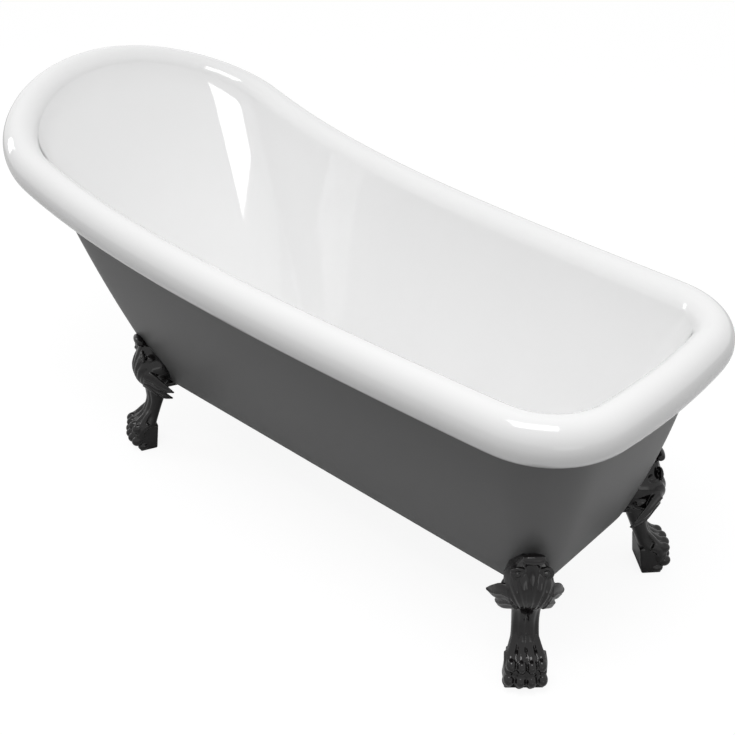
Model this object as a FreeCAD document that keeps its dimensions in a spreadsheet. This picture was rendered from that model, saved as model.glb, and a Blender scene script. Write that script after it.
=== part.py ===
import FreeCAD, Part
import math
import os

from FreeCAD import Placement, Rotation, Vector

# A freestanding slipper bath on four cast claw feet.
#
# Frame: +X runs from the raised head end to the low foot end, +Y to the bather's left,
# +Z up. The soles stand on Z = 0 and the origin is under the middle of the bath.
#
# The rolled rim leads: its centre line is a plan outline lifted by a side profile.
# Both skins hang from that line as straight walls down to outlines of their own.

os.makedirs("parts", exist_ok=True)
doc = FreeCAD.newDocument("slipper_bath")
sheet = doc.addObject("Spreadsheet::Sheet", "sizes")

SIZES = [
    # Rolled rim, seen from above.
    ("bath_length", 1550, "over the rolled rim"),
    ("head_width", 698, "over the rim where the head end begins"),
    ("foot_width", 604, "over the rim at the foot end"),
    ("head_round", 225, "depth of the half ellipse of the head end, at the rim's centre line"),
    ("foot_corner", 131, "corner radius of the foot end, at the rim's centre line"),
    ("foot_bow", 7, "how far the foot end bows out between its corners"),
    ("roll_width", 74, "width of the roll"),
    ("roll_height", 84, "height of the roll"),
    ("crease_angle", 166, "where the basin's wall leaves the roll, round from outside"),
    # Side profile: height of the rim along the bath.
    ("head_height", 790, "top of the rim at the head"),
    ("foot_height", 581, "top of the rim at the foot end"),
    ("rise_fade", 335, "run along the bath in which the head's rise falls to 1/e"),
    # Outer skin.
    ("skin_wall", 4, "wall of the outer skin"),
    ("skin_base", 158, "height of the outer skin's flat bottom"),
    ("skin_inset_head", -30, "outer skin outside the rim's centre line at the head"),
    ("skin_inset_foot", -13, "outer skin outside the rim's centre line at the foot"),
    ("skin_belly", 14, "how far the skin's walls bulge out at mid height"),
    ("skin_top_drop", 14, "top edge of the outer skin below the rim's centre line"),
    ("base_head_in", 323, "head end of the skin's bottom in from the rim's head"),
    ("base_foot_in", 137, "foot end of the skin's bottom in from the rim's foot"),
    ("base_in_side_head", 188, "skin's bottom in from the rim's side towards the head"),
    ("base_in_side_foot", 139, "and in from the rim's side towards the foot"),
    ("base_round", 100, "depth of the half ellipse of the bottom's head end"),
    ("base_corner", 55, "corner radius of the bottom's foot end"),
    ("lip_gap", 0.3, "clearance of the roll's lip and the feet to the outer skin"),
    # Base board and bathing shell.
    ("board_thickness", 18, "base board between the skin's bottom and the basin"),
    ("board_clearance", 3, "base board to the skin all round"),
    ("shell_wall", 8, "wall of the bathing shell and its roll"),
    ("lip_wall", 6, "thickness of the roll's lip where it meets the skin"),
    ("floor_head_in", 475, "head end of the basin's floor in from the rim's head"),
    ("floor_foot_in", 219, "foot end of the basin's floor in from the rim's foot"),
    ("floor_in_side_head", 221, "floor in from the rim's side towards the head"),
    ("floor_in_side_foot", 165, "and in from the rim's side towards the foot"),
    ("floor_round", 120, "depth of the half ellipse of the floor's head end"),
    ("floor_corner", 80, "corner radius of the floor's foot end"),
    ("floor_edge", 50, "radius from the floor up into the walls"),
    # Claw feet, each in a frame of its own with the heel at 0 and +X outwards.
    ("heel_in_foot", 127, "heels of the foot-end feet in from the rim's foot"),
    ("heel_in_side_foot", 108, "and in from the rim's side there"),
    ("foot_turn_foot", 47, "foot-end feet point outwards from the bath's length by this angle"),
    ("heel_in_head", 385, "heels of the head-end feet in from the rim's head"),
    ("heel_in_side_head", 150, "and in from the rim's side there"),
    ("foot_turn_head", 66, "head-end feet point outwards from the bath's length by this angle"),
    ("claw_height", 282, "top of a foot's scroll"),
    ("paw_width", 80, "paw over its four toes"),
    ("heel_length", 34, "heel block outwards from the heel"),
    ("heel_height", 50, "height of the heel block"),
    ("leg_width", 48, "leg at its narrowest"),
    ("knee_width", 80, "knee over its acanthus swelling"),
    ("lug_length", 106, "foot's lug under the skin, from the heel inwards"),
    ("lug_width", 48, "width of the lug"),
    ("lug_height", 10, "thickness of the lug"),
    ("lug_root", 20, "where the lug ends inside the leg, from the heel inwards"),
    ("bolt_near", 70, "outer foot bolt inwards from the heel"),
    ("bolt_far", 92, "inner foot bolt inwards from the heel"),
    # Foot bolts with washers and nuts.
    ("bolt_radius", 4, "M8 foot bolt"),
    ("bolt_clearance", 0.5, "hole over the bolt's radius"),
    ("bolt_head", 5.3, "height of the bolt's head"),
    ("bolt_flats", 13, "width over flats of head and nut"),
    ("bolt_over", 3, "bolt's thread beyond its nut"),
    ("nut_height", 6.5, "height of the nut"),
    ("washer_radius", 8.4, "foot bolt's washer"),
    ("washer_height", 1.6, "thickness of the washer"),
    # Levelling screws under the paws.
    ("level_at", 22, "levelling screw outwards from the heel"),
    ("level_radius", 5, "M10 levelling screw"),
    ("level_play", 0.1, "radial play of screw and pad in the paw"),
    ("level_length", 44, "levelling screw over all"),
    ("pad_radius", 14, "levelling pad"),
    ("pad_height", 5, "thickness of the pad"),
    ("pad_seat", 2, "pad's floor under the screw's point"),
    # Waste in the floor, on the bath's middle line.
    ("waste_in", 305, "waste in from the rim's foot"),
    ("flange_radius", 35, "waste flange"),
    ("flange_height", 3, "thickness of the flange"),
    ("tail_radius", 21, "threaded tail of the flange"),
    ("tail_wall", 3, "wall of the tail"),
    ("tail_length", 44, "tail below the flange"),
    ("seal_height", 2, "thickness of the waste's rubber seals"),
    ("hub_radius", 7, "guide hub in the flange's spider"),
    ("spider_height", 4, "height of the spider"),
    ("spider_drop", 20, "spider below the flange's top"),
    ("stem_radius", 3.5, "plug's stem"),
    ("stem_play", 0.1, "radial play of the stem in its hub"),
    ("stem_length", 32, "stem below the plug"),
    ("plug_radius", 29, "plug cap"),
    ("plug_height", 6, "height of the plug cap"),
    ("lock_radius", 32, "lock nut under the floor, over its corners"),
    ("lock_height", 9, "height of the lock nut"),
    ("body_radius", 27, "waste body"),
    ("body_height", 40, "waste body below its mouth"),
    ("outlet_radius", 20, "outlet below the waste body"),
    ("outlet_wall", 3, "wall of the outlet"),
    ("outlet_length", 35, "length of the outlet"),
    # Overflow in the foot-end wall.
    ("overflow_height", 430, "centre of the overflow"),
    ("overflow_radius", 33, "overflow cover"),
    ("overflow_cover", 5, "thickness of the cover"),
    ("overflow_gap", 2.5, "middle of the cover to the bowed wall, which its edge meets"),
    ("seal_gap", 0.5, "overflow's back seal to the basin's wall"),
    ("overflow_tail", 18, "threaded tail of the cover"),
    ("overflow_body", 25, "radius of the collector behind the wall"),
    ("overflow_depth", 16, "depth of the collector"),
    ("pipe_radius", 10, "overflow pipe"),
    ("pipe_wall", 2, "wall of the overflow pipe"),
    ("pipe_nut", 15, "radius of the pipe's compression nuts"),
    ("pipe_nut_height", 14, "height of the compression nuts"),
    # Service opening in the skin's bottom and the base board.
    ("service_headwards", 45, "service opening from the waste towards the head"),
    ("service_footwards", 141, "service opening from the waste towards the foot"),
    ("service_half", 50, "half width of the service opening"),
]
for row, (alias, value, note) in enumerate(SIZES, 1):
    sheet.set(f"A{row}", note)
    sheet.set(f"B{row}", str(value))
    sheet.setAlias(f"B{row}", alias)
doc.recompute()


def size(alias):
    return float(sheet.get(alias))


def feature(label, shape):
    piece = doc.addObject("Part::Feature", label)
    piece.Label = label
    piece.Shape = shape
    return piece


# Plan outlines -------------------------------------------------------------------
# Every outline has a half ellipse at the head, straight sides and a foot end with two
# rounded corners. All have the same stations, so walls run from one to another.

HEAD_STEPS = 18
SIDE_STEPS = 5
CORNER_STEPS = 6
END_STEPS = 2


def outline(head_x, foot_x, head_half, foot_half, head_round, corner, bow=0.0, out=0.0):
    """Points moved outwards by out, and their outward unit normals, anticlockwise."""
    points = []
    ellipse_x = head_x + head_round
    for step in range(HEAD_STEPS + 1):
        turn = math.pi * (0.5 + step / HEAD_STEPS)
        points.append(Vector(ellipse_x + head_round * math.cos(turn),
                             head_half * math.sin(turn), 0))
    corner_x = foot_x - bow - corner
    near_side = []
    for step in range(1, SIDE_STEPS):
        part = step / SIDE_STEPS
        half = head_half + (foot_half - head_half) * part
        near_side.append(Vector(ellipse_x + (corner_x - ellipse_x) * part, -half, 0))
    for step in range(CORNER_STEPS + 1):
        turn = math.pi / 2 * (step / CORNER_STEPS - 1)
        near_side.append(Vector(corner_x + corner * math.cos(turn),
                                corner - foot_half + corner * math.sin(turn), 0))
    points += near_side
    for step in range(1, END_STEPS):
        side = 2 * step / END_STEPS - 1
        points.append(Vector(foot_x - bow * side ** 2, side * (foot_half - corner), 0))
    points += [Vector(point.x, -point.y, 0) for point in reversed(near_side)]
    normals = []
    for index in range(len(points)):
        along = points[(index + 1) % len(points)] - points[index - 1]
        normals.append(Vector(along.y, -along.x, 0).normalize())
    moved = [point + normal * out for point, normal in zip(points, normals)]
    return moved, normals


def closed_shell(rings):
    """Solid whose surface runs from ring to ring, between two flat end caps."""
    faces = [Part.Face(Part.makePolygon(ring + ring[:1])) for ring in (rings[0], rings[-1])]
    for low, high in zip(rings, rings[1:]):
        for index in range(len(low)):
            after = (index + 1) % len(low)
            for corners in ((low[index], low[after], high[after]),
                            (low[index], high[after], high[index])):
                faces.append(Part.Face(Part.makePolygon(list(corners) + [corners[0]])))
    shell = Part.makeShell(faces)
    shell.sewShape()
    solid = Part.makeSolid(shell)
    if solid.Volume < 0:
        solid.reverse()
    return solid


# The rim's centre line -----------------------------------------------------------

half_length = size("bath_length") / 2
half_head_width = size("head_width") / 2
half_foot_width = size("foot_width") / 2
roll_out = size("roll_width") / 2
roll_up = size("roll_height") / 2
rim_head = roll_out - half_length
rim_foot = half_length - roll_out
head_rise = size("head_height") - size("foot_height")


def rim_height(x):
    """Height of the rim's centre line: level at the foot, sweeping up to the head."""
    rise = head_rise * math.exp((rim_head - x) / size("rise_fade"))
    return size("foot_height") - roll_up + rise


rim_plan, rim_normals = outline(
    rim_head, rim_foot, half_head_width - roll_out, half_foot_width - roll_out,
    size("head_round"), size("foot_corner"), size("foot_bow"))
rim_line = [Vector(point.x, point.y, rim_height(point.x)) for point in rim_plan]


def beside_rim(out, up):
    """Ring at a fixed place beside the rim's centre line."""
    return [point + normal * out + Vector(0, 0, up)
            for point, normal in zip(rim_line, rim_normals)]


def roll_ring(turn, shrink=0.0):
    """Ring round the bath at one angle of the roll's oval, 0 outside and 90 on top."""
    turn = math.radians(turn)
    return beside_rim((roll_out - shrink) * math.cos(turn), (roll_up - shrink) * math.sin(turn))


def lifted(points, height):
    return [Vector(point.x, point.y, height) for point in points]


# Outer skin: a tapering shell with a flat bottom, open at the top -------------------

skin_low = size("skin_base")
skin_wall = size("skin_wall")


def skin_outline(out, height):
    points, normals = outline(
        size("base_head_in") - half_length, half_length - size("base_foot_in"),
        half_head_width - size("base_in_side_head"), half_foot_width - size("base_in_side_foot"),
        size("base_round"), size("base_corner"), out=out)
    return lifted(points, height)


# The walls bulge: share of the height, and share of the belly there.
WALL_BULGE = [(0, 0), (0.12, 0.42), (0.35, 0.91), (0.65, 0.91), (1, 0)]


def skin_top(out):
    """Ring where the skin's walls would meet the rim's centre line."""
    ring = []
    inset_run = size("skin_inset_foot") - size("skin_inset_head")
    for point, normal in zip(rim_line, rim_normals):
        share = (point.x - rim_head) / (rim_foot - rim_head)
        ring.append(point + normal * (size("skin_inset_head") + inset_run * share + out))
    return ring


def skin_ring(out, heights):
    """Ring on the skin's bulging wall, or out from it, at each station's height."""
    lows = skin_outline(out, skin_low)
    ring = []
    for low, high, normal, height in zip(lows, skin_top(out), rim_normals, heights):
        share = (height - low.z) / (high.z - low.z)
        for (low_share, low_part), (high_share, high_part) in zip(WALL_BULGE, WALL_BULGE[1:]):
            if share <= high_share or high_share == 1:
                break
        part = (share - low_share) / (high_share - low_share)
        bulge = size("skin_belly") * (low_part + (high_part - low_part) * part)
        ring.append(low + (high - low) * share + normal * bulge)
    return ring


def skin_wall_rings(out):
    """Rings up the wall between its bottom and its top edge, where the bulge turns."""
    return [skin_ring(out, [skin_low + (point.z - skin_low) * share for point in rim_line])
            for share, part in WALL_BULGE[1:-1]]


def skin_drop_ring(out, drop):
    return skin_ring(out, [point.z - drop for point in rim_line])


top_drop = size("skin_top_drop")
skin_rings = [skin_outline(0, skin_low)] + skin_wall_rings(0)
skin_rings += [skin_drop_ring(0, top_drop), skin_drop_ring(-skin_wall, top_drop)]
skin_rings += reversed(skin_wall_rings(-skin_wall))
skin_rings.append(skin_ring(-skin_wall, [skin_low + skin_wall] * len(rim_line)))
skin_shape = closed_shell(skin_rings)

# Bathing shell: basin with a rounded floor edge, and the rolled rim ------------------

shell_wall = size("shell_wall")
board_low = skin_low + skin_wall
floor_low = board_low + size("board_thickness")
ROLL_STEPS = 12
LINING_STEPS = 4
EDGE_STEPS = 4
roll_start = -75


floor_head_x = size("floor_head_in") - half_length
floor_foot_x = half_length - size("floor_foot_in")
floor_half_head = half_head_width - size("floor_in_side_head")
floor_half_foot = half_foot_width - size("floor_in_side_foot")


def floor_outline(out, height):
    points, normals = outline(
        floor_head_x, floor_foot_x, floor_half_head, floor_half_foot,
        size("floor_round"), size("floor_corner"), out=out)
    return lifted(points, height)


def floor_edge_rings(out, height, wall_top, radius):
    """Rings from the wall round into the floor, as arcs in each station's upright plane."""
    corners = floor_outline(out, height)
    inwards = [normal * -1 for normal in outline(
        floor_head_x, floor_foot_x, floor_half_head, floor_half_foot,
        size("floor_round"), size("floor_corner"))[1]]
    rings = []
    for step in range(EDGE_STEPS + 1):
        ring = []
        for corner, top, inward in zip(corners, wall_top, inwards):
            upward = (top - corner).normalize()
            opening = upward.getAngle(inward)
            bisector = (upward + inward).normalize()
            centre = corner + bisector * (radius / math.sin(opening / 2))
            spread = (math.pi - opening) * (step / EDGE_STEPS - 0.5)
            across = (upward - inward).normalize()
            spoke = bisector * -math.cos(spread) - across * math.sin(spread)
            ring.append(centre + spoke * radius)
        rings.append(ring)
    return rings


crease = math.radians(size("crease_angle"))
wet_top = roll_ring(size("crease_angle"))
dry_top = beside_rim(roll_out * math.cos(crease) + shell_wall, roll_up * math.sin(crease))
lip_drop = roll_up * math.sin(math.radians(-roll_start))
gap = size("lip_gap")
roll_sweep = size("crease_angle") - roll_start

shell_rings = [floor_edge_rings(0, floor_low + shell_wall, wet_top, size("floor_edge"))]
shell_rings[0].reverse()
shell_rings.append([roll_ring(roll_start + roll_sweep * (1 - step / ROLL_STEPS))
                    for step in range(ROLL_STEPS + 1)])
shell_rings.append([skin_drop_ring(gap, lip_drop),
                    skin_drop_ring(gap, lip_drop - size("lip_wall"))])
shell_rings.append([roll_ring(roll_start + 15 + (roll_sweep - 35) * step / LINING_STEPS,
                              shell_wall) for step in range(LINING_STEPS + 1)])
shell_rings.append([dry_top])
shell_rings.append(floor_edge_rings(shell_wall, floor_low, dry_top,
                                    size("floor_edge") + shell_wall))
shell_shape = closed_shell([ring for group in shell_rings for ring in group])

# Claw feet: a cabriole leg with an acanthus knee over a paw of four toes --------------

KNEE_POINTS = 10
paw_half = size("paw_width") / 2
leg_half = size("leg_width") / 2
knee_half = size("knee_width") / 2
claw_top = size("claw_height")
claw_scale = claw_top / 282

# Height, back and front of the leg's sections, and their half widths.
LEG_SECTIONS = [
    (0, 4, 40, paw_half - 8), (38, 2, 46, paw_half - 4), (54, -2, 40, paw_half - 7),
    (70, -6, 28, leg_half + 6), (84, -10, 18, leg_half + 1), (108, -18, 9, leg_half),
    (134, -28, 7, leg_half), (158, -38, 10, leg_half + 1), (166, -52, 20, leg_half + 12),
    (182, -60, 28, knee_half - 1), (202, -60, 29, knee_half), (226, -54, 24, knee_half - 4),
    (250, -46, 14, leg_half + 2), (270, -40, 14, leg_half - 6),
]


def oval_ring(height, back, front, half):
    """Level section of the leg: a squared-off oval."""
    ring = []
    for step in range(KNEE_POINTS):
        turn = 2 * math.pi * (step + 0.5) / KNEE_POINTS
        along, across = math.cos(turn), math.sin(turn)
        along = math.copysign(abs(along) ** 0.75, along)
        across = math.copysign(abs(across) ** 0.75, across)
        ring.append(Vector((back + front + (front - back) * along) / 2 * claw_scale,
                           half * across, height * claw_scale))
    return ring


def tube(places, sides=6):
    """Faceted tube through (x, z, radius) places in an upright plane."""
    rings = []
    for index, (x, z, radius) in enumerate(places):
        before = places[max(index - 1, 0)]
        after = places[min(index + 1, len(places) - 1)]
        tilt = math.atan2(after[1] - before[1], after[0] - before[0])
        ring = []
        for step in range(sides):
            turn = 2 * math.pi * (step + 0.5) / sides
            ring.append(Vector(x - radius * math.cos(turn) * math.sin(tilt),
                               radius * math.sin(turn),
                               z + radius * math.cos(turn) * math.cos(tilt)))
        rings.append(ring)
    return closed_shell(rings)


def cast_tube(places):
    """Tube in the casting, whose places and radii go with its height."""
    return tube([(x * claw_scale, z * claw_scale, radius * claw_scale)
                 for x, z, radius in places])


TOES = 4
toe_pitch = (size("paw_width") - 23 * claw_scale) / (TOES - 1)
toe_line = [(18, 62, 8), (38, 56, 12), (50, 42, 9), (53, 27, 12), (40, 11, 8)]
leg = closed_shell([oval_ring(*section) for section in LEG_SECTIONS])
claw = leg
for toe in range(TOES):
    shape = cast_tube(toe_line)
    shape.translate(Vector(0, (toe - (TOES - 1) / 2) * toe_pitch, 0))
    claw = claw.fuse(shape)
heel = Part.makeBox(size("heel_length"), size("paw_width") * 0.9, size("heel_height"),
                    Vector(0, -paw_half * 0.9, 0))
claw = claw.fuse(heel)

# Leaf tips at both sides of the knee, and the scrolls above it.
for side in (-1, 1):
    root = [(-44, 150), (-14, 149), (6, 156), (12, 172), (6, 204), (-16, 216), (-44, 204)]
    lobe = [(-46, 150), (-20, 149), (-9, 153), (-6, 165), (-12, 184), (-24, 194), (-46, 190)]
    tip = [(-47, 153), (-44, 152), (-41, 154), (-40, 157), (-42, 160), (-45, 161), (-48, 157)]
    places = [(root, leg_half), (lobe, knee_half + 6 * claw_scale),
              (tip, knee_half + 26 * claw_scale)]
    rings = [[Vector(x * claw_scale, side * half, z * claw_scale) for x, z in outline_points]
             for outline_points, half in places]
    claw = claw.fuse(closed_shell(rings))
    curl = cast_tube([(-14, 236, 8), (6, 240, 11), (18, 238, 8)])
    curl.translate(Vector(0, side * (knee_half - 13 * claw_scale), 0))
    claw = claw.fuse(curl)
scroll = cast_tube([(-18, 0, 8), (-12, 0, 11), (12, 0, 11), (18, 0, 8)])
scroll.Placement = Placement(Vector(12 * claw_scale, 0, claw_top - 12 * claw_scale),
                             Rotation(Vector(0, 0, 1), 90))
claw = claw.fuse(scroll)

lug_half = size("lug_width") / 2
lug = Part.makeBox(size("lug_length") - size("lug_root"), size("lug_width"), size("lug_height"),
                   Vector(-size("lug_length"), -lug_half, skin_low - size("lug_height")))
claw = claw.fuse(lug)



def bar(radius, height, base, sides=8):
    """Upright faceted bar that cuts a bore."""
    corners = [base + Vector(radius * math.cos(2 * math.pi * step / sides),
                             radius * math.sin(2 * math.pi * step / sides), 0)
               for step in range(sides)]
    return Part.Face(Part.makePolygon(corners + corners[:1])).extrude(Vector(0, 0, height))


# Bores for the foot bolts and for the levelling screw, with a recess for its pad.
bolt_hole = size("bolt_radius") + size("bolt_clearance")
bolt_places = [Vector(-size("bolt_near"), 0, 0), Vector(-size("bolt_far"), 0, 0)]
for place in bolt_places:
    claw = claw.cut(bar(bolt_hole, 4 * size("lug_height"),
                        place + Vector(0, 0, skin_low - 2 * size("lug_height"))))
level_place = Vector(size("level_at"), 0, 0)
LEVEL_SIDES = 20
play = size("level_play")
claw = claw.cut(bar(size("pad_radius") + 1, size("pad_height") + 1, level_place, LEVEL_SIDES))
claw = claw.cut(bar(size("level_radius") + play, size("pad_seat") + size("level_length") + 4,
                    level_place, LEVEL_SIDES))

# The skin with clearance all round: the feet hug it.
keep_out_rings = [skin_outline(gap, skin_low)] + skin_wall_rings(gap)
keep_out_rings.append(lifted(keep_out_rings[-1], size("head_height")))
keep_out = closed_shell(keep_out_rings)

FEET = [("head_left", -1, 1), ("head_right", -1, -1), ("foot_left", 1, 1),
        ("foot_right", 1, -1)]
foot_frames = []
for name, end, side in FEET:
    which = "foot" if end > 0 else "head"
    outwards = size("foot_turn_" + which)
    turn = side * (outwards if end > 0 else 180 - outwards)
    heel_x = end * (half_length - size("heel_in_" + which))
    heel_y = side * (size(which + "_width") / 2 - size("heel_in_side_" + which))
    frame = Placement(Vector(heel_x, heel_y, 0),
                      Rotation(Vector(0, 0, 1), turn))
    foot_frames.append((name, frame))
    placed = claw.copy()
    placed.Placement = frame
    feature("claw_foot_" + name, placed.cut(keep_out))

# Base board, and the openings in it and in the skin's bottom ------------------------

board_inset = -(skin_wall + size("board_clearance"))
board_ring = skin_outline(board_inset, board_low)
board = Part.Face(Part.makePolygon(board_ring + board_ring[:1]))
board = board.extrude(Vector(0, 0, size("board_thickness")))
waste_x = half_length - size("waste_in")
service_length = size("service_footwards") + size("service_headwards")
service_start = waste_x - size("service_headwards")
service = Part.makeBox(service_length, 2 * size("service_half"), 100,
                       Vector(service_start, -size("service_half"), skin_low - 20))
service = service.makeFillet(20, [edge for edge in service.Edges
                                  if edge.BoundBox.ZLength > 50])
bolt_axes = [frame.multVec(place) for name, frame in foot_frames for place in bolt_places]
openings = [service]
for axis in bolt_axes:
    openings.append(bar(bolt_hole, 100, Vector(axis.x, axis.y, skin_low - 20)))
for opening in openings:
    board = board.cut(opening)
    skin_shape = skin_shape.cut(opening)
feature("base_board", board)
feature("outer_skin", skin_shape)

# Fasteners and round pieces --------------------------------------------------------

ROUND_SIDES = 24


def prism(label, sides, radius, height, base=Vector(0, 0, 0), turn=Rotation()):
    """Upright prism whose radius and height are expressions on the sheet."""
    piece = doc.addObject("Part::Prism", label)
    piece.Polygon = sides
    piece.setExpression("Circumradius", radius)
    piece.setExpression("Height", height)
    piece.Placement = Placement(base, turn)
    return piece


def joined(kind, label, *pieces):
    result = doc.addObject(kind, label)
    result.Label = label
    if kind == "Part::Cut":
        result.Base, result.Tool = pieces
    else:
        result.Shapes = list(pieces)
    return result


def ring(label, outer, inner, height, base, sides=ROUND_SIDES, bore_sides=ROUND_SIDES,
         turn=Rotation()):
    """Flat ring or sleeve: expressions for both radii and the height."""
    body = prism(label + "_body", sides, outer, height, base, turn)
    bore = prism(label + "_bore", bore_sides, inner, height, base, turn)
    return joined("Part::Cut", label, body, bore)


hex_radius = "sizes.bolt_flats / sqrt(3)"
board_top = floor_low
bolts, washers, nuts = [], [], []
for number, axis in enumerate(bolt_axes):
    under = Vector(axis.x, axis.y, skin_low - size("lug_height"))
    head = prism(f"bolt_head_{number}", 6, hex_radius, "sizes.bolt_head",
                 under - Vector(0, 0, size("bolt_head")))
    shank = prism(f"bolt_shank_{number}", 8, "sizes.bolt_radius",
                  "sizes.lug_height + sizes.skin_wall + sizes.board_thickness"
                  " + sizes.washer_height + sizes.nut_height + sizes.bolt_over", under)
    bolts.append(joined("Part::MultiFuse", f"bolt_{number}", head, shank))
    top = Vector(axis.x, axis.y, board_top)
    washers.append(ring(f"washer_{number}", "sizes.washer_radius", "sizes.bolt_radius + 0.6",
                        "sizes.washer_height", top, 10, 8))
    nuts.append(ring(f"nut_{number}", hex_radius, "sizes.bolt_radius + 0.1",
                     "sizes.nut_height", top + Vector(0, 0, size("washer_height")), 6, 8))


def group(label, pieces):
    result = doc.addObject("Part::Compound", label)
    result.Label = label
    result.Links = pieces


group("foot_bolts", bolts)
group("foot_washers", washers)
group("foot_nuts", nuts)
NODES = ["outer_skin", "inner_shell", "base_board", "foot_bolts", "foot_washers", "foot_nuts"]

# Levelling screws and pads: flush with the soles when screwed home --------------------

for name, frame in foot_frames:
    axis = frame.multVec(level_place)
    seat = axis + Vector(0, 0, size("pad_seat"))
    pad = prism(f"pad_disc_{name}", 16, "sizes.pad_radius", "sizes.pad_height", axis)
    socket = prism(f"pad_socket_{name}", LEVEL_SIDES, "sizes.level_radius + 0.2",
                   "sizes.pad_height", seat)
    joined("Part::Cut", "leveller_pad_" + name, pad, socket)
    screw = doc.addObject("Part::Cylinder", "leveller_screw_" + name)
    screw.setExpression("Radius", "sizes.level_radius")
    screw.setExpression("Height", "sizes.level_length")
    screw.Placement.Base = seat
    NODES += ["claw_foot_" + name, "leveller_pad_" + name, "leveller_screw_" + name]

# Waste: flange and seals in the floor, lock nut and body under it ---------------------

floor_top = floor_low + shell_wall


def at_waste(height):
    return Vector(waste_x, 0, height)


flange_low = floor_top + size("seal_height")
flange_top = flange_low + size("flange_height")
tail_low = flange_low - size("tail_length")
disc = prism("flange_disc", ROUND_SIDES, "sizes.flange_radius", "sizes.flange_height",
             at_waste(flange_low))
tail = prism("flange_tail", ROUND_SIDES, "sizes.tail_radius", "sizes.tail_length",
             at_waste(tail_low))
mouth = prism("flange_mouth", ROUND_SIDES, "sizes.tail_radius - sizes.tail_wall",
              "sizes.tail_length + sizes.flange_height", at_waste(tail_low))
flange_rim = joined("Part::Cut", "flange_rim",
                    joined("Part::MultiFuse", "flange_blank", disc, tail), mouth)
spider_low = flange_top - size("spider_drop")
spider_parts = [flange_rim, prism("spider_hub", 16, "sizes.hub_radius", "sizes.spider_height",
                                  at_waste(spider_low))]
for number in range(2):
    arm = doc.addObject("Part::Box", f"spider_arm_{number}")
    arm.setExpression("Length", "2 * (sizes.tail_radius - 1.5)")
    arm.Width = 3
    arm.setExpression("Height", "sizes.spider_height")
    arm.Placement = Placement(at_waste(spider_low), Rotation(Vector(0, 0, 1), 90 * number))
    middle = Vector(size("tail_radius") - 1.5, 1.5, 0)
    arm.Placement.Base = at_waste(spider_low) - arm.Placement.Rotation.multVec(middle)
    spider_parts.append(arm)
spider = joined("Part::MultiFuse", "spider", *spider_parts)
guide = prism("spider_guide", 16, "sizes.stem_radius + sizes.stem_play", "sizes.spider_height",
              at_waste(spider_low))
joined("Part::Cut", "waste_flange", spider, guide)

seal_bore = "sizes.tail_radius + 0.3"
ring("waste_upper_seal", "sizes.flange_radius - 1", seal_bore, "sizes.seal_height",
     at_waste(floor_top))
seal_low = floor_low - size("seal_height")
ring("waste_lower_seal", "sizes.lock_radius - 3", seal_bore, "sizes.seal_height",
     at_waste(seal_low))
lock_low = seal_low - size("lock_height")
ring("waste_lock_nut", "sizes.lock_radius", seal_bore, "sizes.lock_height",
     at_waste(lock_low), 6)

# The body is a cup round the tail's end with an outlet below and a side inlet.
body_high = lock_low - 3
body_low = body_high - size("body_height")
outlet_low = body_low - size("outlet_length")
inlet_height = body_high - size("body_height") / 2
inlet_end = waste_x + size("body_radius") + 16
X_AXIS = Rotation(Vector(0, 1, 0), 90)
body_blank = joined(
    "Part::MultiFuse", "body_blank",
    prism("body_cup", ROUND_SIDES, "sizes.body_radius", "sizes.body_height",
          at_waste(body_low)),
    prism("body_outlet", ROUND_SIDES, "sizes.outlet_radius", "sizes.outlet_length",
          at_waste(outlet_low)),
    prism("body_inlet", 16, "sizes.pipe_nut - 2", "sizes.body_radius + 16",
          at_waste(inlet_height), X_AXIS))
chamber = prism("body_chamber", ROUND_SIDES, seal_bore, "sizes.body_height - 4",
                at_waste(body_low + 4))
drain = prism("body_drain", ROUND_SIDES, "sizes.outlet_radius - sizes.outlet_wall",
              "sizes.outlet_length + 4", at_waste(outlet_low))
inlet = prism("body_inlet_bore", 16, "sizes.pipe_radius + 0.3", "sizes.body_radius + 16",
              at_waste(inlet_height), X_AXIS)
joined("Part::Cut", "waste_body", body_blank,
       joined("Part::MultiFuse", "body_bores", chamber, drain, inlet))

# Click-clack plug, closed: cap on its own seal, stem in the spider's guide.
ring("plug_seal", "sizes.plug_radius - 3", "sizes.stem_radius + 0.3", "sizes.seal_height",
     at_waste(flange_top), ROUND_SIDES, 16)
plug_low = flange_top + size("seal_height")
prism("waste_plug", ROUND_SIDES, "sizes.plug_radius", "sizes.plug_height", at_waste(plug_low))
prism("plug_stem", 16, "sizes.stem_radius", "sizes.stem_length",
      at_waste(plug_low - size("stem_length")))

shell_shape = shell_shape.cut(bar(size("tail_radius") + 0.5, 60, at_waste(floor_low - 20), 24))
NODES += ["waste_flange", "waste_upper_seal", "waste_lower_seal", "waste_lock_nut",
          "waste_body", "plug_seal", "waste_plug", "plug_stem"]

# Overflow: everything square to the basin's wall at the foot end ----------------------

# The basin's wall as a line in the bath's middle plane, from the floor to the roll.
wall_foot = Vector(floor_foot_x, 0, floor_top)
wall_head = Vector(rim_foot + roll_out * math.cos(crease), 0,
                   size("foot_height") - roll_up + roll_up * math.sin(crease))
down_wall = (wall_foot - wall_head).normalize()
through = Vector(-down_wall.z, 0, down_wall.x)
reach = (wall_head.z - size("overflow_height")) / -down_wall.z
overflow_face = wall_head + down_wall * reach
square = Rotation(Vector(0, 0, 1), through)


def behind(depth, down=0.0):
    """Place behind the wall's wet face, and down along it."""
    return overflow_face + through * depth + down_wall * down


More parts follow.
